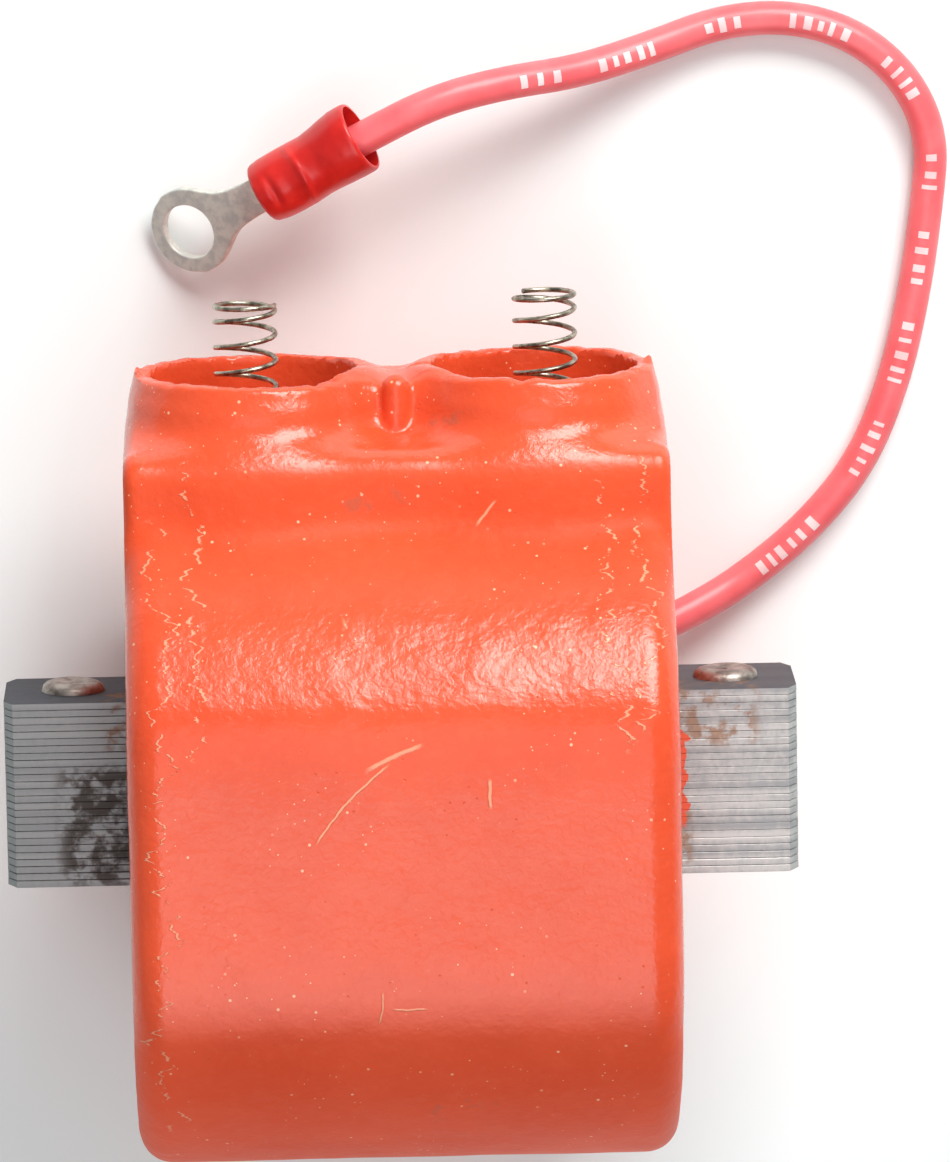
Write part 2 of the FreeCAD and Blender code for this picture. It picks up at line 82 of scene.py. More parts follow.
# The resin is hollow round the plates and round the coil pack, which has its own nodes.
SLOT_INSET = 0.15
PACK_HALF = np.array((19.0, 19.5, 18.5))
# Cell of the housing's mesh, and how far its lip's flash may stand above the tower.
HOUSING_STEP = 0.38
FLASH_RISE = 0.6
LIP_R = 10.2
LIP_DROP = {-1: 0.35, 1: 0.15}
WIDTHS_FROM_Y = 38.0
# How fast each tower widens on its way down: (height, widening per mm). Lip, neck, foot.
TOWER_FLARE = [
    (29.0, 0.3), (31.0, 0.45), (32.2, 0.25), (32.9, 0.18), (33.6, 0.26), (34.2, 0.42),
    (35.0, 0.36), (36.2, 0.25),
]


# ---------------------------------------------------------------- camera, floor and lights


def make_camera():
    """Long lens, almost straight above the front, leaning towards the towers and rolled slightly."""
    tilt = math.radians(9.957)
    turn = math.radians(-1.07)
    roll = math.radians(-1.04)
    distance = 785.2
    aim = Vector((6.787, 16.51, MID_Z - 2.772))
    flip = Matrix(((1, 0, 0), (0, -1, 0), (0, 0, -1)))
    look = Matrix.Rotation(roll, 3, "Z") @ Matrix.Rotation(tilt, 3, "X")
    look = look @ Matrix.Rotation(turn, 3, "Y") @ flip
    axes = look.transposed()
    right = axes @ Vector((1, 0, 0))
    up = axes @ Vector((0, -1, 0))
    back = axes @ Vector((0, 0, -1))
    data = bpy.data.cameras.new("camera")
    data.sensor_fit = "AUTO"
    data.sensor_width = 36.0
    data.lens = 278.8
    data.clip_start = 0.05
    data.clip_end = 10.0
    camera = bpy.data.objects.new("camera", data)
    bpy.context.scene.collection.objects.link(camera)
    place = Matrix((right, up, back)).transposed().to_4x4()
    place.translation = (aim + back * distance) * MM
    camera.matrix_world = place
    bpy.context.scene.camera = camera


LIGHT_AIM = Vector((0, 0, 0.02))


def area_light(name, direction, distance, size, power, colour):
    """Rectangular lamp. Its direction, distance and size in metres are taken from LIGHT_AIM."""
    data = bpy.data.lights.new(name, "AREA")
    data.shape = "RECTANGLE"
    data.size, data.size_y = size
    data.energy = power
    data.color = colour
    light = bpy.data.objects.new(name, data)
    bpy.context.scene.collection.objects.link(light)
    towards = Vector(direction).normalized()
    light.location = LIGHT_AIM + towards * distance
    light.rotation_mode = "QUATERNION"
    light.rotation_quaternion = towards.to_track_quat("Z", "Y")


FLOOR_SIZE = 3.0
FLOOR_GAP = 0.0001


def make_studio():
    """Pale floor, white surroundings, a key light past the towers on the right, and three soft boxes."""
    bpy.ops.mesh.primitive_plane_add(size=FLOOR_SIZE, location=(0, 0, -FLOOR_GAP))
    floor = bpy.context.object
    floor.name = "studio_floor"
    floor.data.materials.append(plain_material("studio_floor", (0.91, 0.985, 0.985), 0.9))
    area_light("key", (0.31, 0.79, 0.53), 0.45, (0.24, 0.20), 2.15, (1.0, 0.98, 0.96))
    area_light("overhead", (0.0, 0.17, 0.98), 0.9, (0.5, 0.5), 1.0, (1.0, 0.99, 1.0))
    area_light("front", (0.0, -0.35, 0.94), 0.9, (0.4, 0.4), 1.3, (1.0, 0.99, 1.0))
    area_light("below", (0.0, -0.70, 0.71), 0.9, (0.5, 0.4), 1.3, (1.0, 0.99, 1.0))
    world = bpy.data.worlds.new("studio")
    bpy.context.scene.world = world
    world.use_nodes = True
    background = world.node_tree.nodes["Background"]
    background.inputs["Color"].default_value = (0.98, 0.99, 1.0, 1)
    background.inputs["Strength"].default_value = 0.25
    bpy.context.scene.view_settings.view_transform = "Standard"


# ---------------------------------------------------------------- materials


class Shader:
    """A material under construction, with short ways to add and join its nodes."""

    def __init__(self, name):
        self.material = bpy.data.materials.new(name)
        self.material.use_nodes = True
        self.nodes = self.material.node_tree.nodes
        self.links = self.material.node_tree.links
        self.surface = self.nodes["Principled BSDF"]
        self.place = self.add("ShaderNodeTexCoord").outputs["Object"]

    def add(self, kind, **settings):
        node = self.nodes.new(kind)
        for key, value in settings.items():
            setattr(node, key, value)
        return node

    def set(self, node, socket, value):
        """Joins a socket to an output, or gives it a constant."""
        if isinstance(value, bpy.types.NodeSocket):
            self.links.new(value, node.inputs[socket])
        elif isinstance(value, (tuple, list)) and len(value) == 3 and node.inputs[socket].type == "RGBA":
            node.inputs[socket].default_value = (*value, 1)
        else:
            node.inputs[socket].default_value = value

    def math(self, operation, a, b=None, c=None, clamp=False):
        node = self.add("ShaderNodeMath", operation=operation, use_clamp=clamp)
        for number, value in enumerate((a, b, c)):
            if value is not None:
                self.set(node, number, value)
        return node.outputs[0]

    def stretched(self, scale, shift=(0, 0, 0)):
        node = self.add("ShaderNodeMapping")
        self.set(node, "Vector", self.place)
        node.inputs["Scale"].default_value = scale
        node.inputs["Location"].default_value = shift
        return node.outputs[0]

    def noise(self, per_mm, detail=2.0, rough=0.5, distort=0.0, place=None):
        node = self.add("ShaderNodeTexNoise")
        self.set(node, "Vector", place or self.place)
        node.inputs["Scale"].default_value = per_mm / MM
        node.inputs["Detail"].default_value = detail
        node.inputs["Roughness"].default_value = rough
        node.inputs["Distortion"].default_value = distort
        return node.outputs[0]

    def cells(self, per_mm):
        node = self.add("ShaderNodeTexVoronoi")
        self.set(node, "Vector", self.place)
        node.inputs["Scale"].default_value = per_mm / MM
        return node.outputs["Distance"]

    def band(self, value, low, high):
        """0 below low, 1 above high, smooth between. Low may be above high."""
        node = self.add("ShaderNodeMapRange", interpolation_type="SMOOTHSTEP")
        self.set(node, "Value", value)
        node.inputs["From Min"].default_value = low
        node.inputs["From Max"].default_value = high
        return node.outputs[0]

    def mix(self, share, a, b):
        node = self.add("ShaderNodeMix", data_type="RGBA")
        self.set(node, "Factor", share)
        for socket, value in zip(("A", "B"), (a, b)):
            target = [s for s in node.inputs if s.name == socket and s.type == "RGBA"][0]
            if isinstance(value, bpy.types.NodeSocket):
                self.links.new(value, target)
            else:
                target.default_value = (*value, 1)
        return [s for s in node.outputs if s.type == "RGBA"][0]

    def axis(self, number):
        """X, Y or Z of the point being shaded, in metres."""
        node = self.add("ShaderNodeSeparateXYZ")
        self.set(node, 0, self.place)
        return node.outputs[number]

    def rise(self, number, start, full):
        """0 before one place along an axis and 1 past another, both in mm."""
        return self.band(self.axis(number), start * MM, full * MM)

    def greatest(self, values):
        """The largest of several outputs, such as marks laid over each other."""
        most = values[0]
        for value in values[1:]:
            most = self.math("MAXIMUM", most, value)
        return most

    def bump(self, *layers):
        """Each layer is (height, depth in mm)."""
        last = None
        for height, depth in layers:
            node = self.add("ShaderNodeBump")
            node.inputs["Strength"].default_value = 1.0
            node.inputs["Distance"].default_value = depth * MM
            self.set(node, "Height", height)
            if last:
                self.set(node, "Normal", last)
            last = node.outputs[0]
        self.set(self.surface, "Normal", last)

    def finish(self, **sockets):
        for name, value in sockets.items():
            self.set(self.surface, name.replace("_", " "), value)
        return self.material


def plain_material(name, colour, roughness):
    shader = Shader(name)
    tone = shader.mix(shader.band(shader.noise(0.02), 0.3, 0.7), colour, tuple(0.985 * c for c in colour))
    return shader.finish(Base_Color=tone, Roughness=roughness)


# A height in front of the whole object, for regions that have no front limit.
OUTSIDE_Z = 60


def region(shader, low, high, soft):
    """1 inside a box given by two corners in mm, fading out over soft mm."""
    share = None
    for number in range(3):
        along = shader.axis(number)
        rise = shader.band(along, (low[number] - soft) * MM, low[number] * MM)
        fall = shader.band(along, (high[number] + soft) * MM, high[number] * MM)
        both = shader.math("MULTIPLY", rise, fall)
        share = both if share is None else shader.math("MULTIPLY", share, both)
    return share


# The full range of a ragged line's slow wander and of its fine jitter. The noise averages half.
SWAY = 9.0
JITTER = 2.4
LINE_CENTRE = (SWAY + JITTER) / 2


def wandering_line(shader, x, low, high, half_width, shift):
    """Ragged vertical line near x, with gaps, between two corners in mm."""
    wander = shader.noise(1.0, 3.0, 0.7, 0.0, shader.stretched((0.01, 0.28, 0.01), (shift, shift, 0)))
    fine = shader.noise(1.0, 3.0, 0.6, 0.0, shader.stretched((0.2, 1.3, 0.2), (shift, 0, shift)))
    off = shader.math("MULTIPLY_ADD", wander, SWAY * MM, shader.math("MULTIPLY", fine, JITTER * MM))
    from_line = shader.math("SUBTRACT", shader.axis(0), shader.math("ADD", off, (x - LINE_CENTRE) * MM))
    line = shader.band(shader.math("ABSOLUTE", from_line), half_width * MM, half_width * 0.35 * MM)
    whole = shader.band(shader.noise(0.9, 3.0, 0.6), 0.47, 0.53)
    return shader.math("MULTIPLY", shader.math("MULTIPLY", line, whole), region(shader, low, high, 1.5))


def arc_scratch(shader, centre, radius, low, high, half_width, soft=1.0):
    """Part of a circle drawn on the front, inside a box of two corners in mm."""
    across = shader.math("SUBTRACT", shader.axis(0), centre[0] * MM)
    upward = shader.math("SUBTRACT", shader.axis(1), centre[1] * MM)
    squares = shader.math("MULTIPLY_ADD", across, across, shader.math("MULTIPLY", upward, upward))
    from_arc = shader.math("SUBTRACT", shader.math("SQRT", squares), radius * MM)
    worn = shader.math("MULTIPLY_ADD", shader.noise(1.1, 3.0), 0.3 * MM, from_arc)
    line = shader.band(shader.math("ABSOLUTE", worn), half_width * 1.6 * MM, half_width * 0.5 * MM)
    return shader.math("MULTIPLY", line, region(shader, low, high, soft))


# The body's dull zones: one between two heights below the towers, one below the flat panel.
# Each pair is where the change starts and where it is complete.
DULL_FROM = (17.5, 21.5)
DULL_TO = (30.0, 28.3)
DULL_LOW = (-13.0, -20.0)


def resin_material():
    """Orange-red cast epoxy: satin, finely rippled, with cream cracks, scratches and specks, a dark smudge
    low on the front, and patchy painted shade between the towers.
    """
    shader = Shader("resin")
    cloud = shader.band(shader.noise(0.07, 3.0), 0.35, 0.65)
    colour = shader.mix(cloud, (0.78, 0.082, 0.026), (0.83, 0.095, 0.032))
    mottle = shader.band(shader.noise(0.9, 4.0, 0.6), 0.45, 0.75)
    colour = shader.mix(shader.math("MULTIPLY", mottle, 0.2), colour, (0.88, 0.14, 0.06))
    # Patchy darkening: painted shade in the valley between the towers, and a real smudge low on the front.
    smudge_and_shade_noise = shader.band(shader.noise(0.35, 4.0, 0.65), 0.56, 0.72)
    web_painted_shade = shader.math("MULTIPLY", smudge_and_shade_noise, region(shader, (-4, 26, MID_Z), (5, 34, OUTSIDE_Z), 2.5))
    smudge = shader.math("MULTIPLY", smudge_and_shade_noise, region(shader, (2.5, -27, MID_Z), (8, -23.5, OUTSIDE_Z), 1.2))
    smudge_and_painted_shade = shader.math("ADD", web_painted_shade, smudge, clamp=True)
    colour = shader.mix(shader.math("MULTIPLY", smudge_and_painted_shade, 0.55), colour, (0.45, 0.12, 0.07))
    cream = (0.95, 0.48, 0.29)
    lines = [
        wandering_line(shader, -17.4, (-23, 8, MID_Z), (-14, 29, OUTSIDE_Z), 0.20, 0.011),
        wandering_line(shader, -20.6, (-23, -26, MID_Z), (-17, 24, OUTSIDE_Z), 0.17, 0.023),
        wandering_line(shader, 18.2, (14, 8, MID_Z), (23, 27, OUTSIDE_Z), 0.22, 0.037),
        wandering_line(shader, 20.8, (17, 9, MID_Z), (23, 29, OUTSIDE_Z), 0.18, 0.052),
        arc_scratch(shader, (11.8, -12.3), 22.9, (-7.3, 0.4, MID_Z), (-2.0, 6.2, OUTSIDE_Z), 0.10),
        arc_scratch(shader, (9.0, -16.0), 25.2, (-2.5, 6.0, MID_Z), (0.8, 10, OUTSIDE_Z), 0.17),
        arc_scratch(shader, (40.0, 4.0), 33.0, (6.5, 2.8, MID_Z), (7.5, 4.6, OUTSIDE_Z), 0.13, 0.5),
        arc_scratch(shader, (0.0, 30.0), 45.0, (-1.0, -16.5, MID_Z), (1.2, -14.0, OUTSIDE_Z), 0.08, 0.5),
        arc_scratch(shader, (-14.0, -13.0), 12.0, (-2.8, -15.8, MID_Z), (-1.4, -13.6, OUTSIDE_Z), 0.08, 0.5),
        arc_scratch(shader, (20.0, 30.0), 28.0, (-4.6, 17.5, MID_Z), (-3.2, 19.4, OUTSIDE_Z), 0.14, 0.5),
        arc_scratch(shader, (-10.0, 40.0), 23.0, (7.0, 24.0, MID_Z), (9.2, 26.0, OUTSIDE_Z), 0.10, 0.5),
    ]
    marks = shader.greatest(lines)
    colour = shader.mix(shader.math("MULTIPLY", marks, 0.62), colour, cream)
    sides = shader.band(shader.math("ABSOLUTE", shader.axis(0)), 9 * MM, 20 * MM)
    upper = shader.rise(1, -5, 22)
    often = shader.math("MULTIPLY_ADD", shader.math("MULTIPLY", sides, upper), 0.13, shader.noise(0.13, 2.0))
    large = shader.band(shader.cells(0.62), 0.10, 0.06)
    large = shader.math("MULTIPLY", large, shader.band(often, 0.45, 0.60))
    small = shader.band(shader.cells(1.15), 0.10, 0.06)
    small = shader.math("MULTIPLY", small, shader.band(often, 0.47, 0.62))
    specks = shader.math("MAXIMUM", large, small)
    colour = shader.mix(specks, colour, cream)
    pits = shader.band(shader.cells(0.9), 0.10, 0.03)
    pits = shader.math("MULTIPLY", pits, shader.band(shader.noise(0.2, 1.0), 0.50, 0.62))
    ripple = shader.noise(1.7, 3.0, 0.55, 0.4)
    peel = shader.noise(0.35, 2.0, 0.5)
    upper_dull = shader.math("MULTIPLY", shader.rise(1, *DULL_FROM), shader.rise(1, *DULL_TO))
    dull = shader.math("MAXIMUM", upper_dull, shader.rise(1, *DULL_LOW))
    gloss = shader.math("MULTIPLY_ADD", shader.noise(0.5, 3.0), 0.12, 0.155)
    roughness = shader.math("MULTIPLY_ADD", dull, 0.25, gloss)
    reflection = shader.math("MULTIPLY_ADD", dull, -0.36, 0.5)
    shader.bump(
        (peel, 0.10),
        (ripple, 0.050),
        (marks, 0.05),
        (shader.math("MULTIPLY", pits, -1.0), 0.05),
    )
    return shader.finish(Base_Color=colour, Roughness=roughness, Specular_IOR_Level=reflection)


# Marks on the core, each as two corners and how softly it ends.
STAIN = ((-28.5, -7, 30), (-22, 1.2, OUTSIDE_Z), 2.0)
RUST = [
    ((22, 4.0, 30), (30, 7.5, OUTSIDE_Z), 1.5),
    ((22, -8.2, 30), (24.6, -3, OUTSIDE_Z), 0.8),
    ((-25, 4.5, 30), (-22, 8, OUTSIDE_Z), 1.0),
]
RESIN_SMEAR = ((22, -3.5, 33), (27, 4.5, OUTSIDE_Z), 0.8)


def steel_edge_material():
    """Sheared plate edges: grey, streaked across the stack, stained on the left, rusty on the right, with
    painted shade darkening the left half and the top face.
    """
    shader = Shader("core_steel")
    fine = shader.noise(1.0, 4.0, 0.6, 0.0, shader.stretched((1.5, 1.1, 1.1)))
    plates = shader.noise(1.0, 0.0, 0.5, 0.0, shader.stretched((0.02, 1.6, 0.3)))
    tone = shader.math("MULTIPLY_ADD", fine, 0.5, shader.math("MULTIPLY", plates, 0.5))
    colour = shader.mix(shader.band(tone, 0.3, 0.7), (0.30, 0.305, 0.31), (0.52, 0.515, 0.50))
    # Painted shade: the left half of the stack is made darker.
    left = shader.rise(0, 0.0, -1)
    colour = shader.mix(shader.math("MULTIPLY", left, 0.72), colour, (0.15, 0.155, 0.16))
    # Painted shade: the stack's top face is made darker and bluer.
    top = shader.rise(1, CORE_HIGH[1] - 0.08, CORE_HIGH[1] - 0.02)
    colour = shader.mix(shader.math("MULTIPLY", top, 0.85), colour, (0.06, 0.068, 0.085))
    patches = shader.band(shader.noise(0.5, 5.0, 0.65), 0.42, 0.58)
    stain = shader.math("MULTIPLY", patches, region(shader, *STAIN))
    colour = shader.mix(shader.math("MULTIPLY", stain, 0.9), colour, (0.035, 0.028, 0.022))
    rusty = shader.greatest([region(shader, *patch) for patch in RUST])
    rust = shader.math("MULTIPLY", shader.band(shader.noise(0.6, 5.0, 0.65), 0.47, 0.60), rusty)
    rust_colour = shader.mix(shader.noise(1.8, 3.0), (0.12, 0.05, 0.02), (0.42, 0.24, 0.12))
    colour = shader.mix(shader.math("MULTIPLY", rust, 0.75), colour, rust_colour)
    edge = shader.math("MULTIPLY_ADD", shader.noise(0.35, 3.0, 0.6), 5.0 * MM, 21.8 * MM)
    resin = shader.band(shader.math("SUBTRACT", edge, shader.axis(0)), 0.0, 0.15 * MM)
    resin = shader.math("MULTIPLY", resin, region(shader, *RESIN_SMEAR))
    colour = shader.mix(resin, colour, (0.72, 0.10, 0.045))
    covered = shader.greatest([rust, stain, resin])
    metal = shader.math("MULTIPLY_ADD", covered, -0.7, 0.72)
    dull = shader.math("MULTIPLY_ADD", top, 0.25, 0.34)
    roughness = shader.math("MULTIPLY_ADD", fine, 0.20, shader.math("MULTIPLY_ADD", covered, 0.2, dull))
    shader.bump((fine, 0.03))
    return shader.finish(Base_Color=colour, Metallic=metal, Roughness=roughness)


def metal_material(name, dark, light, roughness, per_mm=1.5, depth=0.01, metallic=1.0):
    """Worn metal whose tone and gloss wander between two colours."""
    shader = Shader(name)
    grain = shader.noise(per_mm, 4.0, 0.6)
    colour = shader.mix(shader.band(grain, 0.35, 0.65), dark, light)
    gloss = shader.math("MULTIPLY_ADD", shader.noise(per_mm * 2, 3.0), 0.2, roughness - 0.1)
    shader.bump((grain, depth))
    return shader.finish(Base_Color=colour, Metallic=metallic, Roughness=gloss)


def vinyl_material(name, colour, deep, roughness, coat):
    """Glossy soft plastic, slightly uneven in colour and surface."""
    shader = Shader(name)
    cloud = shader.band(shader.noise(0.25, 3.0), 0.35, 0.65)
    tone = shader.mix(cloud, deep, colour)
    shader.bump((shader.noise(0.8, 2.0), 0.03))
    material = shader.finish(Base_Color=tone, Roughness=roughness)
    shader.surface.inputs["Coat Weight"].default_value = coat
    shader.surface.inputs["Coat Roughness"].default_value = 0.12
    return material


# ---------------------------------------------------------------- mesh making


def mesh_piece(name, vertices, faces, material, body, smooth_below=35.0):
    """Object from points in mm and faces, riding on a CAD body."""
    mesh = bpy.data.meshes.new(name)
    points = (np.asarray(vertices, float) * MM).tolist()
    mesh.from_pydata(points, [], [tuple(int(i) for i in face) for face in faces])
    mesh.validate()
    mesh.materials.append(material)
    piece = bpy.data.objects.new(name, mesh)
    bpy.context.scene.collection.objects.link(piece)
    mesh.polygons.foreach_set("use_smooth", [True] * len(mesh.polygons))
    mesh.set_sharp_from_angle(angle=math.radians(smooth_below))
    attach(piece, body)
    return piece


def lattice_noise(points, size, seed):
    """Smooth noise from -1 to 1 whose lumps are about size mm across."""
    count = 32
    table = np.random.default_rng(seed).uniform(-1, 1, (count, count, count))
    scaled = points / size
    cell = np.floor(scaled).astype(int)
    part = scaled - cell
    part = part * part * (3 - 2 * part)
    total = np.zeros(len(points))
    for corner in product((0, 1), repeat=3):
        weight = np.prod(np.where(corner, part, 1 - part), axis=1)
        at = (cell + corner) % count
        total += weight * table[at[:, 0], at[:, 1], at[:, 2]]
    return total


def surface_net(distance, low, high, step):
    """Closed quad mesh of a distance function's zero surface, moved on to it exactly."""
    low = np.asarray(low, float)
    counts = np.ceil((np.asarray(high, float) - low) / step).astype(int) + 1
    axes = [low[i] + step * np.arange(counts[i]) for i in range(3)]
    grid = np.stack(np.meshgrid(*axes, indexing="ij"), -1)
    value = distance(grid.reshape(-1, 3)).reshape(counts)
    inside = value < 0
    corner_sets = [
        inside[i : counts[0] - 1 + i, j : counts[1] - 1 + j, k : counts[2] - 1 + k]
        for i, j, k in product((0, 1), repeat=3)
    ]
    filled = sum(c.astype(np.int8) for c in corner_sets)
    mixed = (filled > 0) & (filled < 8)
    number = -np.ones(mixed.shape, int)
    number[mixed] = np.arange(mixed.sum())
    cells = np.argwhere(mixed)
    total = np.zeros((len(cells), 3))
    hits = np.zeros(len(cells))
    for axis in range(3):
        others = [i for i in range(3) if i != axis]
        for a, b in product((0, 1), repeat=2):
            start = cells.copy()
            start[:, others[0]] += a
            start[:, others[1]] += b
            end = start.copy()
            end[:, axis] += 1
            first = value[tuple(start.T)]
            second = value[tuple(end.T)]
            crossing = (first < 0) != (second < 0)
            share = np.where(crossing, first / np.where(crossing, first - second, 1), 0)
            point = start.astype(float)
            point[:, axis] += share
            total[crossing] += point[crossing]
            hits[crossing] += 1
    vertices = low + step * total / hits[:, None]
    faces = []
    for axis in range(3):
        b, c = (axis + 1) % 3, (axis + 2) % 3
        take = [slice(1, counts[i] - 1) for i in range(3)]
        take[axis] = slice(0, counts[axis] - 1)
        after = list(take)
        after[axis] = slice(1, counts[axis])
        first = inside[tuple(take)]
        second = inside[tuple(after)]
        for outward, edges in ((True, first & ~second), (False, ~first & second)):
            at = np.argwhere(edges) + [0 if i == axis else 1 for i in range(3)]
            around = []
            for back_b, back_c in ((0, 0), (1, 0), (1, 1), (0, 1)):
                cell = at.copy()
                cell[:, b] -= back_b
                cell[:, c] -= back_c
                around.append(number[tuple(cell.T)])
            quads = np.stack(around, 1)
            faces.append(quads if outward else quads[:, ::-1])
    faces = np.vstack(faces)
    for _ in range(3):
        vertices = pulled_to_surface(distance, vertices, step)
    return vertices, faces


def pulled_to_surface(distance, points, step):
    """Points moved along the distance function's slope to its zero surface, by at most half a step."""
    small = step * 0.05
    slope = np.zeros_like(points)
    for axis in range(3):
        shift = np.zeros(3)
        shift[axis] = small
        slope[:, axis] = (distance(points + shift) - distance(points - shift)) / (2 * small)
    size = np.maximum((slope**2).sum(1), 0.1)
    move = -(distance(points) / size)[:, None] * slope
    length = np.linalg.norm(move, axis=1, keepdims=True)
    return points + move * np.minimum(1, 0.5 * step / np.maximum(length, 1e-9))


def soft_min(a, b, size):
    share = np.clip(0.5 + 0.5 * (b - a) / size, 0, 1)
    return b + (a - b) * share - size * share * (1 - share)


def soft_max(a, b, size):
    return -soft_min(-a, -b, size)


def round_meet(a, b, radius):
    """Intersection of two solids with its edge rounded to a radius."""
    both = np.hypot(np.maximum(a + radius, 0), np.maximum(b + radius, 0))
    return np.minimum(-radius, np.maximum(a, b)) + both


def box_distance(points, low, high):
    """Distance to an axis-aligned box."""
    centre = (np.asarray(low, float) + high) / 2
    half = (np.asarray(high, float) - low) / 2
    past = np.abs(points - centre) - half
    return np.linalg.norm(np.maximum(past, 0), axis=1) + np.minimum(past.max(axis=1), 0)


def tube_mesh(path, radius, sides):
    """Round tube along a path of points, with flat ends."""
    tangent = np.gradient(path, axis=0)
    tangent /= np.linalg.norm(tangent, axis=1, keepdims=True)
    up = np.cross(tangent[0], (0.3, 0.5, 0.8))
    turn = np.linspace(0, 2 * math.pi, sides, endpoint=False)[:, None]
    rings = []
    for point, along in zip(path, tangent):
        up = up - along * (up @ along)
        up /= np.linalg.norm(up)
        side = np.cross(along, up)
        rings.append(point + radius * (np.cos(turn) * up + np.sin(turn) * side))
    vertices = np.vstack(rings)
    faces = []
    for ring, k in product(range(len(path) - 1), range(sides)):
        a = ring * sides + k
        b = ring * sides + (k + 1) % sides
        faces.append((a, b, b + sides, a + sides))
    faces.append(tuple(range(sides))[::-1])
    faces.append(tuple(range(len(vertices) - sides, len(vertices))))
    return vertices, faces


# ---------------------------------------------------------------- lead

LEAD_R = 1.5
LEAD_Z = 1.52
TERMINAL_AT = Vector((-11.1, 48.6, 7.65))
TERMINAL_TURN = (
    Matrix.Rotation(math.radians(29.4), 3, "Z")
    @ Matrix.Rotation(math.radians(-10.8), 3, "Y")
    @ Matrix.Rotation(math.radians(-1.9), 3, "X")
)


def on_terminal(points):
    """Points of the terminal's own frame, x along its barrel towards the lead, put in the model's."""
    turn = np.array(TERMINAL_TURN)
    return np.asarray(points, float) @ turn.T + np.array(TERMINAL_AT)


LEAD_ROUTE = [
    (22.4, 7.9, 5.0),
    (26.8, 9.6, 3.3),
    (31.6, 12.1, LEAD_Z),
    (37.2, 16.6, LEAD_Z),
    (42.2, 22.5, LEAD_Z),
    (45.3, 30.2, LEAD_Z),
    (47.1, 38.2, LEAD_Z),
    (48.2, 45.6, LEAD_Z),
    (48.8, 51.6, LEAD_Z),
    (46.6, 56.9, LEAD_Z),
    (42.2, 60.9, LEAD_Z),
    (36.4, 62.8, LEAD_Z),
    (30.0, 62.5, LEAD_Z),
    (23.6, 60.3, 2.6),
    (17.1, 58.6, 4.9),
    (10.7, 58.1, 7.6),
    (4.35, 56.8, 9.4),
    tuple(on_terminal([(10.8, 0, 0)])[0]),
    tuple(on_terminal([(5.2, 0, 0)])[0]),
]


def lead_curve(name, bevel):
    data = bpy.data.curves.new(name, "CURVE")
    data.dimensions = "3D"
    spline = data.splines.new("NURBS")
    spline.points.add(len(LEAD_ROUTE) - 1)
    for point, place in zip(spline.points, LEAD_ROUTE):
        point.co = (*(c * MM for c in place), 1)
    spline.order_u = 3
    spline.use_endpoint_u = True
    data.resolution_u = 14
    data.bevel_depth = bevel * MM
    data.bevel_resolution = 8
    data.use_fill_caps = True
    curve = bpy.data.objects.new(name, data)
    bpy.context.scene.collection.objects.link(curve)
    return curve


def lead_line():
    """Evenly spaced points of the lead's own spline, in mm."""
    bare = lead_curve("lead_line", 0.0)
    bare.data.resolution_u = 64
    bpy.context.view_layer.update()
    mesh = bpy.data.meshes.new_from_object(bare)
    points = np.array([v.co for v in mesh.vertices]) / MM
    bpy.data.meshes.remove(mesh)
    bpy.data.objects.remove(bare)
    walked = np.r_[0, np.cumsum(np.linalg.norm(np.diff(points, axis=0), axis=1))]
    even = np.linspace(0, walked[-1], 1200)
    return np.stack([np.interp(even, walked, points[:, i]) for i in range(3)], 1), even


INK_T = 0.02
PRINT_START = 12.0
PRINT_END = 100.0


def print_marks(material):
    """Rows of short worn bars printed along the lead, in place of its lettering."""
    line, walked = lead_line()
    rng = np.random.default_rng(7)
    vertices = []
    faces = []
    at = PRINT_START
    while at < PRINT_END:
        for _ in range(int(rng.integers(3, 7))):
            length = rng.uniform(0.35, 0.75)
            half_turn = math.radians(rng.uniform(17, 27))
            add_mark(vertices, faces, line, walked, at, length, half_turn)
            at += length + rng.uniform(0.5, 1.0)
        at += rng.uniform(2.6, 4.6)
    return mesh_piece("lead_print", vertices, faces, material, "coil")


def add_mark(vertices, faces, line, walked, start, length, half_turn):
    """One bar: a thin patch of the lead's surface, facing up."""
    along_steps = 3
    turn_steps = 10
    base = len(vertices)
    lift = LEAD_R + INK_T
    for i in range(along_steps + 1):
        s = start + length * i / along_steps
        here = np.array([np.interp(s, walked, line[:, k]) for k in range(3)])
        ahead = np.array([np.interp(s + 0.3, walked, line[:, k]) for k in range(3)])
        along = (ahead - here) / np.linalg.norm(ahead - here)
        side = np.cross((0, 0, 1), along)
        side /= np.linalg.norm(side)
        up = np.cross(along, side)
        for j in range(turn_steps + 1):
            turn = half_turn * (2 * j / turn_steps - 1)
            vertices.append(here + lift * (math.cos(turn) * up + math.sin(turn) * side))
    for i, j in product(range(along_steps), range(turn_steps)):
        a = base + i * (turn_steps + 1) + j
        faces.append((a, a + turn_steps + 1, a + turn_steps + 2, a + 1))


def make_lead(vinyl, ink):
    lead = lead_curve("lead", LEAD_R)
    lead.data.materials.append(vinyl)
    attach(lead, "coil")
    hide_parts("lead_wire")
    marks = print_marks(ink)
    return lead, marks


# ---------------------------------------------------------------- terminal

BARREL_R = 1.55
BARREL_BORE_R = 0.6
BARREL_END = 5.2
SLEEVE_LENGTH = 10.4
TONGUE_T = 0.8
TONGUE_LEVEL = -BARREL_R + TONGUE_T / 2
TONGUE_STRAIGHT = 1.3
TONGUE_BEND = math.radians(21.7)
TONGUE_BEND_R = 5.2
TONGUE_TO_RING = 5.45
RING_R = 3.85
RING_HOLE_R = 2.5


